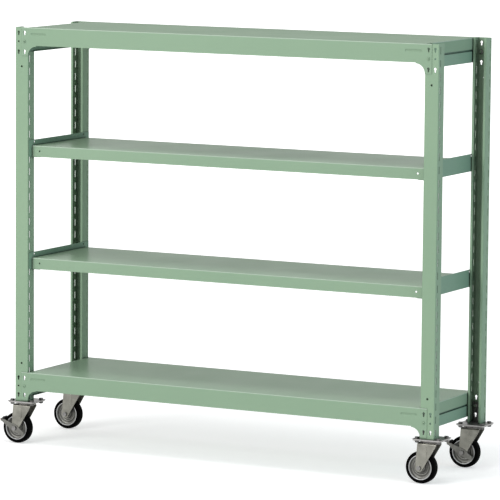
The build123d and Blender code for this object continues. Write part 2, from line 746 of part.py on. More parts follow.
for side, face in corners:
    wheel_x = x_at(side, caster_inset_x) - caster_trail
    wheel_y = y_at(face, caster_inset_y)
    spin = Axis((wheel_x, wheel_y, axle_height), (0, 1, 0))
    across = Plane((wheel_x, wheel_y, axle_height))

    with BuildPart() as wheel:
        # Half section through hub, pressed rings and rim
        with BuildSketch(across):
            with BuildLine():
                Polyline(
                    (wheel_bore, 0),
                    (wheel_bore, hub_length / 2),
                    (hub_radius, hub_length / 2),
                    (hub_radius, boss_sheet / 2),
                    (boss_radius, boss_sheet / 2),
                    (boss_radius + ring_slope, web_sheet / 2),
                    (ring_inner_radius, web_sheet / 2),
                    (ring_inner_radius + ring_slope, ring_sheet / 2),
                    (ring_outer_radius - ring_slope, ring_sheet / 2),
                    (ring_outer_radius, web_sheet / 2),
                    (rim_radius - rim_sheet, web_sheet / 2),
                    (rim_radius - rim_sheet, rim_width / 2),
                    (rim_radius, rim_width / 2),
                    (rim_radius, 0),
                    close=True,
                )
            make_face()
            mirror(about=Plane.XZ)
        revolve(axis=spin)
    save(wheel, f"wheel_{corner_name(side, face)}")

    with BuildPart() as tyre:
        with BuildSketch(across) as tread:
            with Locations((rim_radius + tyre_depth / 2, 0)):
                Rectangle(tyre_depth, tyre_width)
            fillet(tread.vertices().group_by(Axis.X)[-1], tyre_shoulder)
        revolve(axis=spin)
    save(tyre, f"tyre_{corner_name(side, face)}")

    with BuildPart() as bush:
        with BuildSketch(Plane.XZ.offset(-wheel_y)):
            with Locations((wheel_x, axle_height)):
                Circle(bush_radius)
                Circle(axle_bore, mode=Mode.SUBTRACT)
        extrude(amount=bush_length / 2, both=True)
    save(bush, f"bush_{corner_name(side, face)}")

    # Hex bolt from the front side and its nut; a brake pedal takes room under the head
    if (side, face) in braked:
        head_room = pedal_sheet + 2 * pedal_gap
    else:
        head_room = 0
    head_y = wheel_y - fork_width / 2 - head_room
    nut_y = wheel_y + fork_width / 2
    with BuildPart() as axle:
        with BuildSketch(Plane.XZ.offset(-head_y)):
            with Locations((wheel_x, axle_height)):
                RegularPolygon(axle_head_flats / 2, 6, major_radius=False)
        extrude(amount=axle_head_height)
        with BuildSketch(Plane.XZ.offset(-head_y)):
            with Locations((wheel_x, axle_height)):
                Circle(axle_radius)
        extrude(amount=head_y - nut_y - axle_nut_height - axle_thread_past)
        with BuildSketch(Plane.XZ.offset(-nut_y)):
            with Locations((wheel_x, axle_height)):
                RegularPolygon(axle_head_flats / 2, 6, major_radius=False)
                Circle(axle_bore, mode=Mode.SUBTRACT)
        extrude(amount=-axle_nut_height)
    save(axle, f"axle_{corner_name(side, face)}")

# Brake pedals: a side lever on the axle, with its tread bent across the tyre
for side, face in braked:
    wheel_x = x_at(side, caster_inset_x) - caster_trail
    wheel_y = y_at(face, caster_inset_y)
    inner_y = wheel_y - fork_width / 2 - pedal_gap
    tread_end_y = inner_y + pedal_tread_reach
    # Local x runs from the axle to the tip, local y is square to it
    lever_plane = Plane(
        origin=(wheel_x, inner_y, axle_height),
        x_dir=(-pedal_reach_back, 0, pedal_reach_up),
        z_dir=(0, -1, 0),
    )
    with BuildPart() as pedal:
        with BuildSketch(lever_plane):
            Circle(pedal_hub_radius)
            with Locations((tip_reach, 0)):
                Circle(pedal_tip_radius)
            make_hull()
        extrude(amount=pedal_sheet)
        # Heel on the other side of the axle, pushed down to free the wheel
        with BuildSketch(Plane.XZ.offset(-inner_y)):
            with Locations((wheel_x, axle_height)):
                Circle(pedal_hub_radius)
            with Locations((wheel_x + pedal_heel_ahead, axle_height - pedal_heel_drop)):
                Circle(pedal_heel_radius)
            make_hull()
        extrude(amount=pedal_sheet)
        with BuildSketch(Plane.XZ.offset(-inner_y)):
            with Locations((wheel_x, axle_height)):
                Circle(axle_bore)
        extrude(amount=pedal_sheet, mode=Mode.SUBTRACT)
        with BuildSketch(lever_plane):
            with Locations((tread_radius + pedal_tread_sheet / 2, 0)):
                Rectangle(pedal_tread_sheet, pedal_tread_width)
        extrude(amount=-pedal_tread_reach)
    save(pedal, f"brake_pedal_{corner_name(side, face)}")

    with BuildPart() as cap:
        with BuildSketch(lever_plane.offset(-pedal_tread_reach)):
            with Locations((tread_radius + pedal_tread_sheet / 2, 0)):
                Rectangle(
                    pedal_tread_sheet + 2 * pedal_cap_wall,
                    pedal_tread_width + 2 * pedal_cap_wall,
                )
        extrude(amount=pedal_cap_length)
        with BuildSketch(lever_plane.offset(-pedal_tread_reach)):
            with Locations((tread_radius + pedal_tread_sheet / 2, 0)):
                Rectangle(pedal_tread_sheet, pedal_tread_width)
        extrude(amount=pedal_cap_length, mode=Mode.SUBTRACT)
    save(cap, f"pedal_cap_{corner_name(side, face)}")
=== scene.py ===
# %% [markdown]
# # Mobile steel shelving
# This notebook dresses a finished CAD model. The model is an open shelving unit: four slotted
# posts, four steel decks and four swivel casters, enamelled in a pale sage green. The CAD parts
# already have the right shapes, so most of the work here is finish: enamel, zinc and rubber. Only
# the small pieces that a close look would find too plain, and the side rails of the two pans, are
# modelled again.

# %% Load the CAD frame
import math

import bmesh
import bpy
from mathutils import Matrix, Vector


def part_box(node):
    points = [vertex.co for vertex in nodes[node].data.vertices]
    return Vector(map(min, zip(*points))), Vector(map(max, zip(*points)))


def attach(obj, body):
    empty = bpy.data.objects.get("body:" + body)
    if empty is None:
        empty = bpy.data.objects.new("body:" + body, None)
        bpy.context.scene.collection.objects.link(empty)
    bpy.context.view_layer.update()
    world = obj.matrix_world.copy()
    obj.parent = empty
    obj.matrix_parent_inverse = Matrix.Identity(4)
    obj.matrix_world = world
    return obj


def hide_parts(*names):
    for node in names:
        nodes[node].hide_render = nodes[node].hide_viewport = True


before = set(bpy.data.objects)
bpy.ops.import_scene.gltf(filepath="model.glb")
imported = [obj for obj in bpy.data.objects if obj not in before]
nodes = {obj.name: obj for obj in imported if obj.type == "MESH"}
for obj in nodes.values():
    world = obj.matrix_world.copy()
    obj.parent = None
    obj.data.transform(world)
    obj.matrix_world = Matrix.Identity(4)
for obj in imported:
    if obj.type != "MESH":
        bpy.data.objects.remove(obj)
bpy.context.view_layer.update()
corners = ["front_left", "front_right", "rear_left", "rear_right"]
braked_corners = ["front_left", "rear_right"]

# %% [markdown]
# ## Smooth shading on the bends
# A CAD mesh is made of flat triangles. The bends of the sheet and the round wheels should look
# rounded, while the cut edges should stay crisp. Blender can shade by angle: faces that meet at
# less than a given angle share their shading, and the rest keep a hard edge. Only the shading
# changes here, and not one point of the mesh moves.

# %% Shade by angle
smooth_below = math.radians(32)


def shade_by_angle(mesh, limit=smooth_below):
    """Smooth shading where neighbouring faces meet at a small angle, sharp edges elsewhere."""
    mesh.polygons.foreach_set("use_smooth", [True] * len(mesh.polygons))
    work = bmesh.new()
    work.from_mesh(mesh)
    sharp = [
        len(edge.link_faces) != 2 or edge.calc_face_angle(math.pi) > limit
        for edge in work.edges
    ]
    work.free()
    mesh.edges.foreach_set("use_edge_sharp", sharp)
    mesh.update()
    return sum(sharp)


sharp_edges = sum(shade_by_angle(obj.data) for obj in nodes.values())
print("sharp edges kept", sharp_edges)

# %% [markdown]
# ## The photographer's view
# The camera stands far away with a long lens, to the right of the front and a little above the top
# deck. Its place, its turn and its lens were worked out from the edges of the four posts. A camera
# looks along its own -Z, so the matrix is made of the right, up and backward directions.

# %% Camera
photo_pixels = 500
focal_pixels = 3732.93
camera_place = Vector((5.444893, -10.331133, 2.063618))
camera_yaw = math.radians(27.6807)
camera_pitch = math.radians(6.8784)
camera_roll = math.radians(0.4589)

forward = Vector((
    -math.sin(camera_yaw) * math.cos(camera_pitch),
    math.cos(camera_yaw) * math.cos(camera_pitch),
    -math.sin(camera_pitch),
))
level_right = Vector((math.cos(camera_yaw), math.sin(camera_yaw), 0))
level_up = level_right.cross(forward)
right = level_right * math.cos(camera_roll) + level_up * math.sin(camera_roll)
up = level_up * math.cos(camera_roll) - level_right * math.sin(camera_roll)

camera_data = bpy.data.cameras.new("photo_camera")
camera_data.sensor_width = 36.0
camera_data.lens = camera_data.sensor_width * focal_pixels / photo_pixels
camera_data.clip_end = 200.0
camera = bpy.data.objects.new("photo_camera", camera_data)
bpy.context.scene.collection.objects.link(camera)
turn = Matrix((right, up, -forward)).transposed()
camera.matrix_world = Matrix.Translation(camera_place) @ turn.to_4x4()
bpy.context.scene.camera = camera
bpy.context.scene.view_settings.view_transform = "Standard"
print("lens", round(camera_data.lens, 1), "mm")

# %% [markdown]
# ## A small kit for node materials
# A material in Blender is a graph of nodes. Building one by hand takes many lines, so this small
# class adds a node, sets its sockets and links it, in one call each. A socket takes either a fixed
# value or the output of another node.

# %% Node kit
mix_first, mix_second, mix_result = 6, 7, 2  # the colour sockets of a Mix node


class Finish:
    """A material with a Principled shader, and short calls that add nodes to it."""

    def __init__(self, name):
        self.material = bpy.data.materials.new(name)
        self.material.use_nodes = True
        self.tree = self.material.node_tree
        self.shader = self.tree.nodes["Principled BSDF"]
        self.here = self.add("ShaderNodeTexCoord").outputs["Object"]

    def add(self, kind, **settings):
        node = self.tree.nodes.new(kind)
        for key, value in settings.items():
            setattr(node, key, value)
        return node

    def feed(self, socket, value):
        if isinstance(value, bpy.types.NodeSocket):
            self.tree.links.new(value, socket)
        else:
            socket.default_value = value

    def set(self, **values):
        """Values or node outputs for the shader, such as Metallic=1.0; _ stands for a space."""
        for key, value in values.items():
            self.feed(self.shader.inputs[key.replace("_", " ")], value)

    def noise(self, scale, detail=2.0, roughness=0.5, where=None):
        node = self.add("ShaderNodeTexNoise")
        self.feed(node.inputs["Vector"], where or self.here)
        self.feed(node.inputs["Scale"], scale)
        self.feed(node.inputs["Detail"], detail)
        self.feed(node.inputs["Roughness"], roughness)
        return node.outputs["Fac"]

    def stretch(self, scales, where=None):
        node = self.add("ShaderNodeMapping")
        self.feed(node.inputs["Vector"], where or self.here)
        self.feed(node.inputs["Scale"], scales)
        return node.outputs["Vector"]

    def span(self, value, low, high, to_low, to_high):
        node = self.add("ShaderNodeMapRange")
        for key, number in zip(("Value", "From Min", "From Max", "To Min", "To Max"),
                               (value, low, high, to_low, to_high)):
            self.feed(node.inputs[key], number)
        return node.outputs["Result"]

    def maths(self, operation, first, second=0.0):
        node = self.add("ShaderNodeMath", operation=operation)
        self.feed(node.inputs[0], first)
        self.feed(node.inputs[1], second)
        return node.outputs[0]

    def blend(self, share, first, second):
        node = self.add("ShaderNodeMix", data_type="RGBA")
        self.feed(node.inputs["Factor"], share)
        self.feed(node.inputs[mix_first], first)
        self.feed(node.inputs[mix_second], second)
        return node.outputs[mix_result]

    def bump(self, height, strength, depth, under=None):
        node = self.add("ShaderNodeBump")
        self.feed(node.inputs["Height"], height)
        self.feed(node.inputs["Strength"], strength)
        self.feed(node.inputs["Distance"], depth)
        if under is not None:
            self.feed(node.inputs["Normal"], under)
        return node.outputs["Normal"]

    def hollow(self, reach):
        """1 out in the open and less in corners and hollows, where little light gets in."""
        node = self.add("ShaderNodeAmbientOcclusion", samples=8)
        self.feed(node.inputs["Distance"], reach)
        return node.outputs["AO"]

    def height(self):
        """Height above the floor."""
        split = self.add("ShaderNodeSeparateXYZ")
        self.feed(split.inputs[0], self.here)
        return split.outputs["Z"]

    def edges(self, radius, start=0.02, end=0.16):
        """1 on sharp edges, where a rounded normal leaves the true one, and 0 on flat sheet."""
        rounded = self.add("ShaderNodeBevel", samples=4)
        self.feed(rounded.inputs["Radius"], radius)
        true = self.add("ShaderNodeNewGeometry").outputs["Normal"]
        dot = self.add("ShaderNodeVectorMath", operation="DOT_PRODUCT")
        self.feed(dot.inputs[0], rounded.outputs["Normal"])
        self.feed(dot.inputs[1], true)
        return self.span(self.maths("SUBTRACT", 1.0, dot.outputs["Value"]), start, end, 0.0, 1.0)


def grey(value, warm=0.0):
    """A near-neutral colour, a little warmer or cooler by warm."""
    return (value * (1 + warm), value, value * (1 - warm), 1.0)


print("node kit ready")

# %% [markdown]
# ## Sage enamel
# Shelving like this is usually sprayed and then baked, so the enamel is smooth, with a soft sheen
# and a very fine orange peel. It is thin on the cut edges, which are drawn lighter, partly as wear
# and partly as a painted highlight, and the folds of the decks carry a painted highlight. A single
# flat colour would look like plastic, so the graph mixes several things: a slow change of tint, a
# change of roughness, the peel as a bump, and the lighter edges, which a Bevel node finds. Inside
# the posts, under the lips and in the slots, painted shade makes the enamel darker. Two Ambient
# Occlusion nodes find those places, one wide and one narrow.

# %% Enamel recipe
enamel_roughness = 0.30
# These reaches and colours paint shade into hollows, slits and the top deck's flat top, and paint a
# highlight on edges and folds; the lighter edges are partly wear too.
shade_reach, slit_shade_reach = 0.045, 0.006
painted_shade_green = (0.118, 0.158, 0.124, 1.0)
top_shade_green = (0.110, 0.150, 0.115, 1.0)
edge_wear_and_highlight = (0.40, 0.47, 0.41, 1.0)
fold_highlight_green = (0.50, 0.58, 0.50, 1.0)
slit_shade_share = 0.08
top_margin = 0.0002
bend_low, bend_high = 0.0028, 0.0018


def enamel(name, tint, shade, specular, edge_lightening=0.25, fold=None, top_shade=0.0):
    """Baked enamel between two close greens, with orange peel, painted shade in hollows and slits,
    and edges lightened by wear and a painted highlight.

    fold is the height of a deck whose folded edges get a painted highlight, and the last argument
    is how much painted shade darkens the deck's own flat top.
    """
    paint = Finish(name)
    drift = paint.span(paint.noise(1.7, detail=3.0), 0.35, 0.65, 0.0, 1.0)
    patches = paint.span(paint.noise(55.0, detail=5.0), 0.48, 0.62, 0.0, edge_lightening)
    lightened_edges = paint.maths("MULTIPLY", paint.edges(0.0009), patches)
    # painted shade in hollows, inside the posts and under the lips
    shade_in_hollows = paint.span(paint.hollow(shade_reach), 0.10, 0.75, 0.0, 1.0)
    # nearly black painted shade on the walls of slits and slots
    slit_shade = paint.span(paint.hollow(slit_shade_reach), 0.35, 0.93, 0.0, 1.0)
    slit_shade_green = tuple(c * slit_shade_share for c in shade[:3]) + (1.0,)
    # edges lighter, partly wear and partly painted highlight, then the painted shade in hollows
    wear_and_light = paint.blend(lightened_edges, paint.blend(drift, shade, tint), edge_wear_and_highlight)
    wear_and_light = paint.blend(shade_in_hollows, painted_shade_green, wear_and_light)
    # painted highlight along the deck's fold, and painted shade on the top deck's flat top
    if fold is not None:
        level = paint.height()
        below = paint.maths("LESS_THAN", level, fold - top_margin)
        bend = paint.span(level, fold - bend_low, fold - bend_high, 0.0, 0.6)
        wear_and_light = paint.blend(paint.maths("MULTIPLY", below, bend), wear_and_light, fold_highlight_green)
        flat = paint.maths("GREATER_THAN", level, fold - top_margin)
        wear_and_light = paint.blend(paint.maths("MULTIPLY", flat, top_shade), wear_and_light, top_shade_green)
    smooth, rough = enamel_roughness * 0.85, enamel_roughness * 1.2
    paint.set(
        Base_Color=paint.blend(slit_shade, slit_shade_green, wear_and_light),
        Roughness=paint.span(paint.noise(6.0), 0.1, 0.9, smooth, rough),
        Specular_IOR_Level=specular,
    )
    peel = paint.bump(paint.noise(420.0, detail=1.0), 0.06, 0.0003)
    paint.set(Normal=paint.bump(paint.noise(260.0), 0.03, 0.0002, under=peel))
    return paint.material


print("enamel recipe ready")

# %% [markdown]
# ## The three enamels
# The posts, the decks and the side rails have slightly different greens. Each deck has a material
# of its own, because the painted highlight on its fold lies at its own height. The flat top of the
# top deck is painted darker than the others, as painted shade.

# %% Enamel finishes
post_enamel = enamel(
    "post_enamel", (0.270, 0.385, 0.262, 1.0), (0.248, 0.360, 0.246, 1.0), 0.05)
rail_enamel = enamel(
    "rail_enamel", (0.235, 0.360, 0.262, 1.0), (0.214, 0.334, 0.244, 1.0), 0.03)
deck_light, deck_deep = (0.265, 0.375, 0.262, 1.0), (0.250, 0.358, 0.250, 1.0)
# the second number in each pair is the painted shade on that deck's flat top
deck_sheen = {"bottom_shelf": (0.03, 0.0), "lower_shelf": (0.03, 0.0),
              "upper_shelf": (0.03, 0.0), "top_shelf": (0.003, 0.30)}
deck_enamel = {
    name: enamel(f"{name}_enamel", deck_light, deck_deep, specular,
                 edge_lightening=0.5, fold=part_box(name)[1].z, top_shade=top_shade)
    for name, (specular, top_shade) in deck_sheen.items()
}
print("enamels", [m.name for m in (post_enamel, rail_enamel, *deck_enamel.values())])

# %% [markdown]
# ## Zinc plating
# Caster parts are pressed from strip and zinc plated: a dull warm grey with fine drawing lines and
# cloudy stains. One noise makes the clouds, and a second noise, stretched in one direction, makes
# the drawing lines. A Bevel node finds the edges, which get a painted highlight. Heights mark two
# more things: a darker band round the ball race, and a painted highlight along the plates' edges.

# %% Zinc recipe
# a darker grey for the band round the ball race, and a light grey painted highlight for plate edges
race_band_grey = grey(0.035, 0.04)
edge_light_grey = grey(0.65, 0.02)
upright_lines, long_lines = (400.0, 400.0, 25.0), (30.0, 400.0, 400.0)


def zinc(name, colour, stain, gloss, lines=upright_lines, dark_band=None, edge_light_band=None):
    """Zinc-plated steel with cloudy stains, fine drawing lines and a painted highlight on its
    edges.

    The last two arguments are (low, high, share): between the two heights the steel is made darker,
    or gets a painted highlight.
    """
    plate = Finish(name)

    def between(low, high, share):
        level = plate.height()
        above = plate.maths("GREATER_THAN", level, low)
        below = plate.maths("LESS_THAN", level, high)
        return plate.maths("MULTIPLY", plate.maths("MULTIPLY", above, below), share)

    cloud = plate.noise(28.0, detail=6.0, roughness=0.6)
    drawn = plate.noise(1.0, detail=3.0, where=plate.stretch(lines))
    tone = plate.blend(plate.span(cloud, 0.35, 0.7, 0.0, 1.0), colour, stain)
    # a darker band round the ball race, between two heights
    if dark_band is not None:
        tone = plate.blend(between(*dark_band), tone, race_band_grey)
    # a painted highlight along the plates' edges, between two heights
    if edge_light_band is not None:
        tone = plate.blend(between(*edge_light_band), tone, edge_light_grey)
    # a painted highlight on the edges that the Bevel node finds
    edge_glint = tuple(min(1.0, c * 2.6) for c in colour[:3]) + (1.0,)
    uneven = plate.maths("ADD", cloud, drawn)
    plate.set(
        Base_Color=plate.blend(plate.maths("MULTIPLY", plate.edges(0.0006), 0.6), tone, edge_glint),
        Metallic=0.85,
        Roughness=plate.span(uneven, 0.7, 1.3, gloss * 0.8, gloss * 1.25),
    )
    plate.set(Normal=plate.bump(drawn, 0.10, 0.0002))
    return plate.material


print("zinc recipe ready")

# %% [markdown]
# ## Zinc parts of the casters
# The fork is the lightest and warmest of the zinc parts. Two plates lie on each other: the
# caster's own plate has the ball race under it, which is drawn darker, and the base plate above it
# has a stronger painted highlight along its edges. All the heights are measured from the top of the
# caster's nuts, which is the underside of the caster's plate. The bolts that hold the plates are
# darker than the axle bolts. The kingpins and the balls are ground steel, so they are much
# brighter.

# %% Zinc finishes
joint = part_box("caster_nuts")[1].z
fork_zinc = zinc("fork_zinc", (0.255, 0.250, 0.218, 1.0), (0.155, 0.151, 0.131, 1.0), 0.38)
plate_zinc = zinc(
    "plate_zinc", grey(0.20, 0.04), grey(0.13, 0.06), 0.36,
    dark_band=(joint - 0.0072, joint - 0.0029, 0.85), edge_light_band=(joint + 0.0002, joint + 0.0024, 0.10))
base_zinc = zinc(
    "base_zinc", grey(0.19, 0.03), grey(0.12, 0.05), 0.34, lines=long_lines,
    edge_light_band=(joint + 0.0028, joint + 0.0050, 0.38))
plate_bolt_zinc = zinc("plate_bolt_zinc", grey(0.13, 0.02), grey(0.08, 0.04), 0.26)
bolt_zinc = zinc("bolt_zinc", grey(0.24, 0.02), grey(0.15, 0.04), 0.30)
pedal_zinc = zinc("pedal_zinc", (0.175, 0.173, 0.158, 1.0), (0.105, 0.103, 0.093, 1.0), 0.34)
ground_steel = zinc("ground_steel", grey(0.62), grey(0.50, 0.02), 0.20)
print("the nuts end at", round(joint, 4), "m, where the plates start")

# %% [markdown]
# ## Wheel steel
# The pressed wheel was turned and polished, which leaves fine rings about its axle. A ring pattern
# needs the distance from the axle, so three vector nodes work it out: move the origin to the axle,
# drop the part along the axle, and take the length. A noise of that one number gives the rings.

# %% Wheel finish
disc_light, disc_deep = (0.215, 0.212, 0.195, 1.0), (0.120, 0.118, 0.108, 1.0)
rim_start, rim_full = 0.0345, 0.0355


def axle_point(corner):
    """The middle of the wheel's axle at a corner, from the CAD tyre."""
    low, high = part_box(f"tyre_{corner}")
    return (low + high) / 2


def distance_from_axle(finish, centre):
    """The distance from the axle line, which runs along Y, as a node output."""
    shifted = finish.add("ShaderNodeVectorMath", operation="SUBTRACT")
    finish.feed(shifted.inputs[0], finish.here)
    finish.feed(shifted.inputs[1], centre)
    flat = finish.add("ShaderNodeVectorMath", operation="MULTIPLY")
    finish.feed(flat.inputs[0], shifted.outputs[0])
    finish.feed(flat.inputs[1], (1.0, 0.0, 1.0))
    length = finish.add("ShaderNodeVectorMath", operation="LENGTH")
    finish.feed(length.inputs[0], flat.outputs[0])
    return length.outputs["Value"]


def wheel_finish(corner):
    """Pressed steel with turning rings about the axle, lighter towards the rim."""
    disc = Finish(f"wheel_steel_{corner}")
    reach = distance_from_axle(disc, axle_point(corner))
    ring = disc.add("ShaderNodeTexNoise", noise_dimensions="1D")
    disc.feed(ring.inputs["W"], reach)
    disc.feed(ring.inputs["Scale"], 900.0)
    cloud = disc.span(disc.noise(35.0, detail=5.0), 0.35, 0.7, 0.0, 1.0)
    rim = disc.span(reach, rim_start, rim_full, 0.0, 0.8)
    disc.set(
        Base_Color=disc.blend(rim, disc.blend(cloud, disc_light, disc_deep), grey(0.55)),
        Metallic=0.8,
        Roughness=disc.span(ring.outputs["Fac"], 0.3, 0.7, 0.30, 0.45),
    )
    disc.set(Normal=disc.bump(ring.outputs["Fac"], 0.15, 0.0002))
    return disc.material


print("axle height", round(axle_point("front_left").z, 4), "m")

# %% [markdown]
# ## Tyre rubber
# The tyres are black rubber. Only the tread picks up dust, so the same distance from the axle is
# used once more: dust is mixed in where the distance comes close to the tyre's radius. The
# specular level is very low, because these tyres look nearly black and mirror hardly anything.

# %% Tyre finish
tread_start, tread_full = 0.0465, 0.0495


def tyre_finish(corner):
    """Black rubber with a fine grain, dusty on the tread."""
    rubber = Finish(f"tyre_rubber_{corner}")
    reach = distance_from_axle(rubber, axle_point(corner))
    grain = rubber.noise(700.0, detail=3.0)
    patches = rubber.noise(60.0, detail=5.0)
    tread = rubber.span(reach, tread_start, tread_full, 0.0, 1.0)
    dust = rubber.maths("MULTIPLY", tread, rubber.span(patches, 0.4, 0.7, 0.05, 0.5))
    rubber.set(
        Base_Color=rubber.blend(dust, grey(0.002), grey(0.012, 0.06)),
        Roughness=rubber.span(patches, 0.3, 0.7, 0.50, 0.66),
        Specular_IOR_Level=0.01,
    )
    rubber.set(Normal=rubber.bump(grain, 0.18, 0.0003))
    return rubber.material


print("tread dust starts", tread_start, "m from the axle")

# %% [markdown]
# ## Moulded rubber and nylon
# The pedal caps are rubber and the wheel bushes are nylon. Both come out of a mould with a fine
# matt grain, so one recipe with a colour and a roughness serves for the two.

# %% Moulded finishes


def moulded(name, colour, roughness):
    """A moulded rubber or plastic piece with a fine matt grain."""
    plastic = Finish(name)
    grain = plastic.noise(900.0)
    cloud = plastic.span(plastic.noise(45.0, detail=4.0), 0.35, 0.7, 0.0, 1.0)
    darker = tuple(c * 0.8 for c in colour[:3]) + (1.0,)
    plastic.set(
        Base_Color=plastic.blend(cloud, colour, darker),
        Roughness=plastic.span(grain, 0.3, 0.7, roughness * 0.9, roughness * 1.1),
    )
    plastic.set(Normal=plastic.bump(grain, 0.15, 0.0002))
    return plastic.material


cap_rubber = moulded("cap_rubber", grey(0.018), 0.6)
bush_nylon = moulded("bush_nylon", grey(0.55, 0.04), 0.45)
print("moulded", cap_rubber.name, bush_nylon.name)

# %% [markdown]
# ## A finish for every CAD node
# The node names say what each part is, so one table of name starts and finishes covers them all. A
# wheel and a tyre need a finish of their own at each corner, because their rings are drawn about
# their own axle.

# %% Assign finishes
finish_by_start = {
    "post_": post_enamel,
    **deck_enamel,
    "corner_bolts": post_enamel,
    "corner_nuts": bolt_zinc,
    "caster_bolts": plate_bolt_zinc,
    "caster_nuts": plate_bolt_zinc,
    "axle_": bolt_zinc,
    "caster_base_": base_zinc,
    "caster_plate_": plate_zinc,
    "fork_": fork_zinc,
    "kingpins": ground_steel,
    "swivel_balls": ground_steel,
    "bush_": bush_nylon,
    "brake_pedal_": pedal_zinc,
    "pedal_cap_": cap_rubber,
}


def finish_for(name):
    for start, material in finish_by_start.items():
        if name.startswith(start):
            return material
    if name.startswith("wheel_"):
        return wheel_finish(name.removeprefix("wheel_"))
    if name.startswith("tyre_"):
        return tyre_finish(name.removeprefix("tyre_"))
    return rail_enamel


for name, obj in nodes.items():
    obj.data.materials.clear()
    obj.data.materials.append(finish_for(name))
print("finishes on", len(nodes), "nodes")

# %% [markdown]
# ## Rings and skins
# Bolts, nuts, wheels and tyres are round or six-sided, so each can be built from rings: equal
# loops of points, one after the other, that are joined into one closed skin. A screw thread is
# such a stack of rings too, where the radius swells and shrinks with the height and with the
# angle.

# %% Ring tools
mm = 0.001


def circle(radius, count=48):
    """Points round a circle."""
    turns = [2 * math.pi * step / count for step in range(count)]
    return [(radius * math.cos(turn), radius * math.sin(turn)) for turn in turns]


def hexagon(flats, count=48):
    """Points round a hexagon of this width across its flats, with two corners on the X axis."""
    points = []
    for step in range(count):
        turn = 2 * math.pi * step / count
        reach = flats / 2 / math.cos(turn % (math.pi / 3) - math.pi / 6)
        points.append((reach * math.cos(turn), reach * math.sin(turn)))
    return points


def lift(outline, height, face_radius=None, sense=1):
    """An outline at a height. Past face_radius it is chamfered at 30 degrees, as bolt heads are."""
    ring = []
    for x, y in outline:
        fall = 0.0
        if face_radius is not None:
            fall = max(0.0, math.hypot(x, y) - face_radius) * math.tan(math.radians(30))
        ring.append((x, y, height - sense * fall))
    return ring


def thread(radius, depth, pitch, start, stop, count=48):
    """Rings of a helical thread from one height to another."""
    steps = max(2, round(abs(stop - start) / (pitch / 6)))
    rings = []
    for index in range(steps + 1):
        height = start + (stop - start) * index / steps
        ring = []
        for step in range(count):
            turn = 2 * math.pi * step / count
            wave = 0.5 - 0.5 * math.cos(2 * math.pi * height / pitch - turn)
            reach = radius - depth * wave
            ring.append((reach * math.cos(turn), reach * math.sin(turn), height))
        rings.append(ring)
    return rings


def skin(work, rings, place, closed=False):
    """Join equal rings, given in millimetres, into one closed skin at a place."""
    rows = [[work.verts.new(place @ (Vector(point) * mm)) for point in ring] for ring in rings]
    pairs = list(zip(rows, rows[1:]))
    if closed:
        pairs.append((rows[-1], rows[0]))
    count = len(rows[0])
    for lower, upper in pairs:
        for step in range(count):
            after = (step + 1) % count
            work.faces.new((lower[step], lower[after], upper[after], upper[step]))
    if not closed:
        work.faces.new(list(reversed(rows[0])))
        work.faces.new(rows[-1])


print("ring tools ready")

# %% [markdown]
# ## From a mesh to a piece
# A new piece has to stand exactly where the plain CAD part stood. The first helper makes a place
# with its own Z axis, the second finds the box of each separate solid in a node, and the third
# turns a mesh into an object that stands for its CAD part and moves with the same body.

# %% Piece tools


def stand(point, axis):
    """A place whose own Z runs along an axis and whose own X is the world's X."""
    along = Vector(axis).normalized()
    across = Vector((1, 0, 0))
    turn = Matrix((across, along.cross(across), along)).transposed()
    return Matrix.Translation(point) @ turn.to_4x4()


def islands(node):
    """The box of each separate solid in a CAD node, as (low, high) pairs, sorted by place."""
    work = bmesh.new()
    work.from_mesh(nodes[node].data)
    bmesh.ops.remove_doubles(work, verts=work.verts, dist=1e-6)
    waiting = set(work.verts)
    boxes = []
    while waiting:
        queue = [waiting.pop()]
        found = []
        while queue:
            vert = queue.pop()
            found.append(vert.co.copy())
            for edge in vert.link_edges:
                other = edge.other_vert(vert)
                if other in waiting:
                    waiting.remove(other)
                    queue.append(other)
        low = Vector(min(point[axis] for point in found) for axis in range(3))
        high = Vector(max(point[axis] for point in found) for axis in range(3))
        boxes.append((low, high))
    work.free()
    return sorted(boxes, key=lambda box: tuple(box[0]))


def new_piece(name, work, material, body, replaced):
    """Turn a finished bmesh into a piece that stands for CAD nodes and rides on a body."""
    bmesh.ops.recalc_face_normals(work, faces=work.faces)
    mesh = bpy.data.meshes.new(name)
    work.to_mesh(mesh)
    work.free()
    mesh.materials.append(material)
    shade_by_angle(mesh)
    piece = bpy.data.objects.new(name, mesh)
    bpy.context.scene.collection.objects.link(piece)
    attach(piece, body)
    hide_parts(*replaced)
    print(name, len(mesh.polygons), "faces")
    return piece


print("piece tools ready")

# %% [markdown]
# ## Hexagon bolts and nuts
# The caster plates are held by M8 bolts with zinc-plated hexagon heads. A forged head has a thin
# round seat under it and a 30 degree chamfer on top, and the thread shows below the nut. The nuts
# are chamfered on both sides, and their bores are countersunk. The places come from the CAD bolts,
# so each new bolt stands where the plain one stood.

# %% Hexagon bolt and nut
head_seat, tip_chamfer, thread_depth = 0.3, 0.65, 0.6
face_share, seat_share = 0.47, 0.475
m8_flats = 13.0
plate_shank, plate_thread, plate_bore = 3.9, 3.0, 3.98


def hex_bolt(work, place, flats, head, shank, length, threaded, pitch=1.25):
    """A bolt whose head stands on z = 0 and whose shank runs down to -length."""
    face = flats * face_share
    seat = flats * seat_share
    rings = [lift(circle(shank - tip_chamfer), -length)]
    rings += thread(shank, thread_depth, pitch, -length + 0.5, -length + threaded)
    rings += [lift(circle(shank), -length + threaded + 0.3), lift(circle(shank), 0.0)]
    rings += [lift(circle(seat), 0.0), lift(circle(seat), head_seat)]
    rings += [lift(hexagon(flats), head_seat), lift(hexagon(flats), head, face)]
    rings += [lift(circle(face), head), lift(circle(face * 0.75), head - 0.12)]
    skin(work, rings, place)


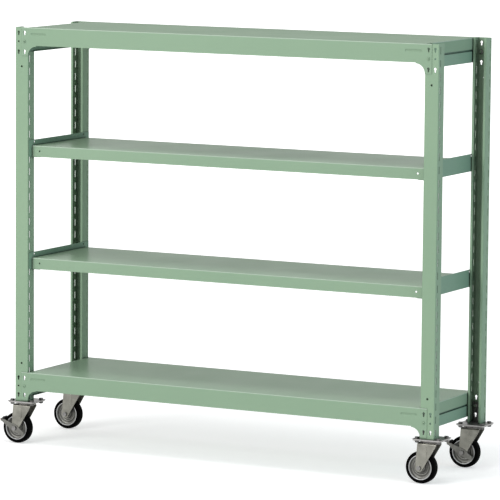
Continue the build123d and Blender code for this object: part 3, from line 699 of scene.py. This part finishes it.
def hex_nut(work, place, flats, height, bore):
    """A nut that stands on z = 0, chamfered on both sides, with a countersunk bore."""
    sink = 0.5
    face = flats * face_share
    rings = [
        lift(circle(bore), sink),
        lift(circle(bore + sink), 0.0),
        lift(circle(face), 0.0),
        lift(hexagon(flats), 0.0, face, sense=-1),
        lift(hexagon(flats), height, face),
        lift(circle(face), height),
        lift(circle(bore + sink), height),
        lift(circle(bore), height - sink),
    ]
    skin(work, rings, place, closed=True)


post_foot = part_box("post_front_left")[0].z
bolts = bmesh.new()
for low, high in islands("caster_bolts"):
    middle = (low + high) / 2
    length = (post_foot - low.z) / mm
    place = stand(Vector((middle.x, middle.y, post_foot)), (0, 0, 1))
    head = (high.z - post_foot) / mm
    hex_bolt(bolts, place, m8_flats, head, plate_shank, length, plate_thread)
new_piece("caster_bolts_threaded", bolts, plate_bolt_zinc, "frame", ["caster_bolts"])

nuts = bmesh.new()
for low, high in islands("caster_nuts"):
    middle = (low + high) / 2
    place = stand(Vector((middle.x, middle.y, low.z)), (0, 0, 1))
    hex_nut(nuts, place, m8_flats, (high.z - low.z) / mm, plate_bore)
new_piece("caster_nuts_chamfered", nuts, plate_bolt_zinc, "frame", ["caster_nuts"])

# %% [markdown]
# ## Corner bolts
# Button-head screws clamp the gusset tabs to the posts. The head is a low dome with a hexagon
# socket, and it is painted together with the frame. The nut behind it, inside the post, stays bare
# zinc. The front screws point to the front and the rear ones to the rear, so the sign of Y turns
# each one round.

# %% Button-head bolts
dome_foot = 0.5
dome_turn, dome_sine = math.radians(62), 0.883
socket_flats, socket_depth = 3.0, 1.4
screw_radius, screw_head, screw_shank = 4.4, 2.4, 2.9
screw_nut_flats, screw_nut_bore = 10.0, 2.98


def button_bolt(work, place, radius, head, shank, length):
    """A domed screw with a hexagon socket: its head stands on z = 0, its shank runs down."""
    rings = [lift(circle(shank - 0.5), -length)]
    rings += thread(shank, 0.5, 1.0, -length + 0.4, -length + 2.4)
    rings += [lift(circle(shank), -length + 2.7), lift(circle(shank), 0.0)]
    rings += [lift(circle(radius), 0.0), lift(circle(radius), dome_foot)]
    for share in (0.25, 0.5, 0.75, 1.0):
        turn = share * dome_turn
        height = dome_foot + (head - dome_foot) * math.sin(turn) / dome_sine
        rings.append(lift(circle(radius * math.cos(turn)), height))
    rings += [lift(hexagon(socket_flats), head), lift(hexagon(socket_flats), head - socket_depth)]
    skin(work, rings, place)


screws = bmesh.new()
for low, high in islands("corner_bolts"):
    side = 1 if low.y > 0 else -1
    outer = high.y if side > 0 else low.y
    seat = Vector(((low.x + high.x) / 2, outer - side * screw_head * mm, (low.z + high.z) / 2))
    length = (high.y - low.y) / mm - screw_head
    button_bolt(screws, stand(seat, (0, side, 0)), screw_radius, screw_head, screw_shank, length)
new_piece("corner_bolts_domed", screws, post_enamel, "frame", ["corner_bolts"])

screw_nuts = bmesh.new()
for low, high in islands("corner_nuts"):
    side = 1 if low.y > 0 else -1
    inner = Vector(((low.x + high.x) / 2, low.y if side > 0 else high.y, (low.z + high.z) / 2))
    thickness = (high.y - low.y) / mm
    hex_nut(screw_nuts, stand(inner, (0, side, 0)), screw_nut_flats, thickness, screw_nut_bore)
new_piece("corner_nuts_chamfered", screw_nuts, bolt_zinc, "frame", ["corner_nuts"])

# %% [markdown]
# ## Side rails of the two pans
# Under each end of the bottom and the top pan, a folded rail ties the front post to the rear post.
# Its upright steps back at the top, behind the pan's side lip. At its foot a narrow edge is folded
# in, only to make the strip stiff, because nothing lies on it. A folded strip has the same section
# along its whole length, so two rows of points joined by faces are enough, and only the ends,
# where the folded edge stops, need faces of their own.

# %% Folded rail
rail_sheet = 1.6
fold_radius = 2.4
folded_edge = 7.0
upper_strip, upright_height, step_back = 16.0, 34.5, 5.0


def row(work, y, points):
    """New points, given as (x, z) in millimetres, in the plane at this y."""
    return [work.verts.new(Vector((x, y, z)) * mm) for x, z in points]


def join_rows(work, first, second):
    """Close the strip between two loops of points that have the same count."""
    for step in range(len(first)):
        after = (step + 1) % len(first)
        work.faces.new((first[step], first[after], second[after], second[step]))


def quarter(x, z, radius, start, steps=5):
    """Points of a quarter circle round (x, z), from a start angle in degrees."""
    turns = [math.radians(start + 90 * step / steps) for step in range(steps + 1)]
    return [(x + radius * math.cos(turn), z + radius * math.sin(turn)) for turn in turns]


def folded_rail(work, side, face, top, half_rail, half_edge):
    """The strip itself. face is how far its outer side is from the middle, in millimetres."""
    step_level = top - upper_strip
    bottom = step_level - upright_height
    bend = bottom + fold_radius

    def at(points):
        return [(side * (face - inward), z) for inward, z in points]

    inner = step_back + rail_sheet
    upright = at([(0.0, bend), (0.0, step_level), (step_back, step_level), (step_back, top),
                  (inner, top), (inner, step_level - rail_sheet),
                  (rail_sheet, step_level - rail_sheet), (rail_sheet, bend)])
    inside = quarter(fold_radius, bend, fold_radius - rail_sheet, 180)[1:]
    outside = quarter(fold_radius, bend, fold_radius, 180)[1:]
    edge = at(inside + [(folded_edge, bottom + rail_sheet), (folded_edge, bottom)]
              + list(reversed(outside)))
    end, start = row(work, -half_rail, upright), row(work, -half_edge, upright)
    start_edge = row(work, -half_edge, edge)
    stop, far_end = row(work, half_edge, upright), row(work, half_rail, upright)
    stop_edge = row(work, half_edge, edge)
    join_rows(work, end, start)
    join_rows(work, start + start_edge, stop + stop_edge)
    join_rows(work, stop, far_end)
    start_end = [start[-1], *start_edge, start[0]]
    stop_end = [stop[-1], *stop_edge, stop[0]]
    for loop in (end, far_end, start_end, stop_end):
        work.faces.new(loop)


print("folded rail", upper_strip + upright_height, "mm high")

# %% [markdown]
# ## Tongues and hooks
# The tongue is cut from the same sheet as the rail. It starts just inside the upright, so the two
# overlap a little, and its hook hangs down behind the slot. The strip's place comes from the box
# of the CAD rail: the hook is its farthest point from the middle, and the upright's outer side
# lies a fixed width outside its nearest point.

# %% Four rails
cad_edge_width, edge_stop = 28.0, 20.0
tongue_inset, tongue_half, tongue_overlap = 7.5, 1.75, 0.8
hook_drop, hook_thickness = 5.0, 1.6


def tongue(work, side, hook, face, y, low, high):
    """A tongue through a slot, with a hook that hangs down behind it, in millimetres."""
    root = face - tongue_overlap
    hook_inner, hook_foot = hook - hook_thickness, low - hook_drop
    outline = [(side * x, z) for x, z in (
        (hook, hook_foot), (hook, high), (root, high), (root, low),
        (hook_inner, low), (hook_inner, hook_foot))]
    near, far = row(work, y - tongue_half, outline), row(work, y + tongue_half, outline)
    join_rows(work, near, far)
    work.faces.new(near)
    work.faces.new(far)


tongue_levels = {"bottom": (151.0, 172.7), "top": (1271.0, 1283.0)}
for level_name, (tongue_low, tongue_high) in tongue_levels.items():
    for side_name, side in (("left", -1), ("right", 1)):
        rail_name = f"{level_name}_side_rail_{side_name}"
        low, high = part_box(rail_name)
        nearest, farthest = sorted((abs(low.x) / mm, abs(high.x) / mm))
        face = nearest + cad_edge_width
        half_rail = high.y / mm
        strip = bmesh.new()
        folded_rail(strip, side, face, high.z / mm, half_rail, half_rail - edge_stop)
        for y in (tongue_inset - half_rail, half_rail - tongue_inset):
            tongue(strip, side, farthest, face, y, tongue_low, tongue_high)
        new_piece(f"{rail_name}_folded", strip, rail_enamel, "frame", [rail_name])

# %% [markdown]
# ## Axle bolts
# Each wheel turns on a bush round an M8 bolt. Its head is at the front side of the fork, and a nut
# holds it at the rear side. Both belong to the caster, so they swivel with it.

# %% Axle bolts and nuts
axle_head, axle_shank, axle_thread, axle_bore = 5.3, 4.0, 8.5, 4.08
for corner in corners:
    axle = bmesh.new()
    bolt_box, nut_box = sorted(islands(f"axle_{corner}"), key=lambda pair: pair[0].y)
    low, high = bolt_box
    seat = Vector(((low.x + high.x) / 2, low.y + axle_head * mm, (low.z + high.z) / 2))
    length = (high.y - low.y) / mm - axle_head
    hex_bolt(axle, stand(seat, (0, -1, 0)), m8_flats, axle_head, axle_shank, length, axle_thread)
    low, high = nut_box
    foot = Vector(((low.x + high.x) / 2, low.y, (low.z + high.z) / 2))
    hex_nut(axle, stand(foot, (0, 1, 0)), m8_flats, (high.y - low.y) / mm, axle_bore)
    new_piece(f"axle_{corner}_threaded", axle, bolt_zinc, f"caster_{corner}", [f"axle_{corner}"])

# %% [markdown]
# ## Wheels and tyres
# The wheel is two discs pressed from sheet and welded back to back: a hub tube, a raised boss, a
# raised ring for stiffness, and a rim whose edge is rolled outwards to hold the tyre. The press
# leaves every bend rounded, so the profile's corners are softened before it is turned round the
# axle. The rubber tyre has a small lip over the rim, a step in the sidewall and a fine parting
# line of the mould in the middle of the tread.

# %% Turned wheels and tyres
wheel_softness, tyre_softness = 1.1, 0.5


def soften(profile, radius, steps=2):
    """Round the corners of a closed profile."""
    smooth = []
    for index, corner_point in enumerate(profile):
        here = Vector(corner_point)
        before = Vector(profile[index - 1]) - here
        after = Vector(profile[(index + 1) % len(profile)]) - here
        reach_before = min(radius, before.length * 0.45)
        reach_after = min(radius, after.length * 0.45)
        start = here + before.normalized() * reach_before
        end = here + after.normalized() * reach_after
        for step in range(steps + 1):
            share = step / steps
            point = start.lerp(here, share).lerp(here.lerp(end, share), share)
            smooth.append((point.x, point.y))
    return smooth


def turned(work, place, half_profile, radius, count=80):
    """Turn a half profile of (radius, width) points, mirrored, round the local Z axis."""
    whole = half_profile + [(reach, -width) for reach, width in reversed(half_profile)]
    rings = [lift(circle(reach, count), width) for reach, width in soften(whole, radius)]
    skin(work, rings, place, closed=True)


wheel_profile = [
    (6.6, 18.0), (10.0, 18.0), (10.2, 9.2), (13.6, 8.8), (16.6, 2.3), (19.2, 2.0), (21.4, 5.9),
    (25.6, 5.9), (27.9, 2.0), (33.6, 2.0), (35.0, 3.0), (35.6, 12.2), (36.4, 13.6), (38.2, 13.6),
    (38.9, 12.6),
]
tyre_profile = [
    (39.05, 14.1), (39.9, 14.6), (41.2, 14.3), (41.6, 14.9), (44.2, 14.9), (44.7, 14.3),
    (46.6, 13.5), (48.7, 11.2), (49.7, 7.5), (49.95, 3.0), (49.8, 0.7), (50.0, 0.3),
]
for corner in corners:
    centre = stand(axle_point(corner), (0, 1, 0))
    disc = bmesh.new()
    turned(disc, centre, wheel_profile, wheel_softness)
    new_piece(f"wheel_{corner}_pressed", disc, nodes[f"wheel_{corner}"].data.materials[0],
              f"rolling_wheel_{corner}", [f"wheel_{corner}"])
    rubber_ring = bmesh.new()
    turned(rubber_ring, centre, tyre_profile, tyre_softness)
    new_piece(f"tyre_{corner}_moulded", rubber_ring, nodes[f"tyre_{corner}"].data.materials[0],
              f"rolling_wheel_{corner}", [f"tyre_{corner}"])

# %% [markdown]
# ## Rubber caps of the brake pedals
# A ribbed rubber sleeve is pushed over the end of each pedal, so that a shoe doesn't slip. It is
# moulded with round ribs across it. The rings run along the sleeve and come back inside it, which
# leaves a hole for the steel tread. The sleeve is thin along one line, square to the tread.

# %% Ribbed pedal caps
rib_count = 7
rib_shape = ((0.02, 0.5), (0.18, 0.12), (0.35, 0.0), (0.65, 0.0), (0.82, 0.12), (0.98, 0.5))
cap_half_x, cap_half_y, cap_round = 3.1, 7.6, 1.2
hole_half_x, hole_half_y, hole_round = 1.55, 6.05, 0.1
hole_reach = 0.98


def rounded_box(half_x, half_y, radius, per_corner=5):
    """Points round a rectangle with rounded corners."""
    points = []
    for index, (sign_x, sign_y) in enumerate(((1, 1), (-1, 1), (-1, -1), (1, -1))):
        for step in range(per_corner):
            turn = (index + step / (per_corner - 1)) * math.pi / 2
            points.append((
                sign_x * (half_x - radius) + radius * math.cos(turn),
                sign_y * (half_y - radius) + radius * math.sin(turn),
            ))
    return points


thin_side = Vector((-50.0, 0.0, 26.0)).normalized()
outward = Vector((0, -1, 0))
for corner in braked_corners:
    low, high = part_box(f"pedal_cap_{corner}")
    turn = Matrix((thin_side, outward.cross(thin_side), outward)).transposed()
    place = Matrix.Translation((low + high) / 2) @ turn.to_4x4()
    half = (high.y - low.y) / 2 / mm
    rings = []
    for index in range(rib_count):
        start = -half + 2 * half * index / rib_count
        stop = -half + 2 * half * (index + 1) / rib_count
        for share, sunk in rib_shape:
            outline = rounded_box(cap_half_x - sunk, cap_half_y - sunk, cap_round)
            rings.append(lift(outline, start + (stop - start) * share))
    hole = rounded_box(hole_half_x, hole_half_y, hole_round)
    rings += [lift(hole, half * hole_reach), lift(hole, -half * hole_reach)]
    sleeve = bmesh.new()
    skin(sleeve, rings, place, closed=True)
    new_piece(f"pedal_cap_{corner}_ribbed", sleeve, cap_rubber, f"brake_{corner}",
              [f"pedal_cap_{corner}"])

# %% [markdown]
# ## Studio
# The picture was taken on plain white. The floor and the world show plain white to the camera and
# in reflections, through the Light Path node, so the lamps can stay at a modest level at which a
# colour looks as it is written. The floor still takes the shadow. The world fills the shadows with
# an even light, because the whole sky glows a little.

# %% World and floor


def seen_directly(tree):
    """1 for camera, mirrored and see-through rays, 0 for rays that only carry light."""
    path = tree.nodes.new("ShaderNodeLightPath")
    total = path.outputs["Is Camera Ray"]
    for name in ("Is Glossy Ray", "Is Transmission Ray"):
        larger = tree.nodes.new("ShaderNodeMath")
        larger.operation = "MAXIMUM"
        tree.links.new(total, larger.inputs[0])
        tree.links.new(path.outputs[name], larger.inputs[1])
        total = larger.outputs[0]
    return total


world_strength = 0.55
world = bpy.data.worlds.new("studio_world")
bpy.context.scene.world = world
world.use_nodes = True
world_tree = world.node_tree
world_light = world_tree.nodes["Background"]
world_light.inputs["Color"].default_value = (1, 1, 1, 1)
world_light.inputs["Strength"].default_value = world_strength
world_seen = world_tree.nodes.new("ShaderNodeBackground")
world_seen.inputs["Color"].default_value = (1, 1, 1, 1)
world_seen.inputs["Strength"].default_value = 1.0
world_mix = world_tree.nodes.new("ShaderNodeMixShader")
world_tree.links.new(seen_directly(world_tree), world_mix.inputs["Fac"])
world_tree.links.new(world_light.outputs[0], world_mix.inputs[1])
world_tree.links.new(world_seen.outputs[0], world_mix.inputs[2])
world_tree.links.new(world_mix.outputs[0], world_tree.nodes["World Output"].inputs["Surface"])

floor_half = 60.0
floor_mesh = bpy.data.meshes.new("floor")
floor_mesh.from_pydata(
    [(-floor_half, -floor_half, 0), (floor_half, -floor_half, 0),
     (floor_half, floor_half, 0), (-floor_half, floor_half, 0)], [], [(0, 1, 2, 3)])
floor = bpy.data.objects.new("floor", floor_mesh)
bpy.context.scene.collection.objects.link(floor)

near_glow, far_glow = 0.47, 0.95
paper = Finish("floor_paper")
paper.set(Base_Color=(0.80, 0.80, 0.80, 1.0), Roughness=0.9, Specular_IOR_Level=0.1)
# Far from the lamps the paper gets less light, so it glows more there
away = paper.add("ShaderNodeVectorMath", operation="LENGTH")
paper.feed(away.inputs[0], paper.here)
glow = paper.span(away.outputs["Value"], 1.0, 9.0, near_glow, far_glow)
paper.set(Emission_Color=(1.0, 1.0, 1.0, 1.0))
paper.set(Emission_Strength=paper.maths("MULTIPLY", seen_directly(paper.tree), glow))
floor_mesh.materials.append(paper.material)
print("floor", 2 * floor_half, "m wide")

# %% [markdown]
# ## Lamps
# An area lamp is a glowing square. The larger it is, the softer its shadow. Each one is aimed by
# turning its own -Z towards a point on the shelving. A large soft lamp stands in front, a smaller
# one hangs above the decks, and a cool one stands at the right. The cool one isn't mirrored in the
# enamel, so it only tints the sides that face it.

# %% Area lamps


def area_lamp(name, place, aim, size, watts, colour=(1.0, 1.0, 1.0), mirrored=True):
    data = bpy.data.lights.new(name, "AREA")
    data.shape = "SQUARE"
    data.size = size
    data.energy = watts
    data.color = colour
    lamp = bpy.data.objects.new(name, data)
    bpy.context.scene.collection.objects.link(lamp)
    lamp.location = place
    lamp.rotation_euler = (Vector(aim) - Vector(place)).to_track_quat("-Z", "Y").to_euler()
    lamp.visible_glossy = mirrored
    return lamp


middle_of_unit = (0, 0, 0.7)
area_lamp("front_lamp", (-2.5, -7.0, 3.2), middle_of_unit, 4.0, 340)
area_lamp("top_lamp", (0.3, -1.2, 6.0), middle_of_unit, 2.0, 90)
area_lamp("side_lamp", (7.0, -1.5, 2.0), middle_of_unit, 5.0, 90,
          colour=(0.35, 0.75, 1.0), mirrored=False)
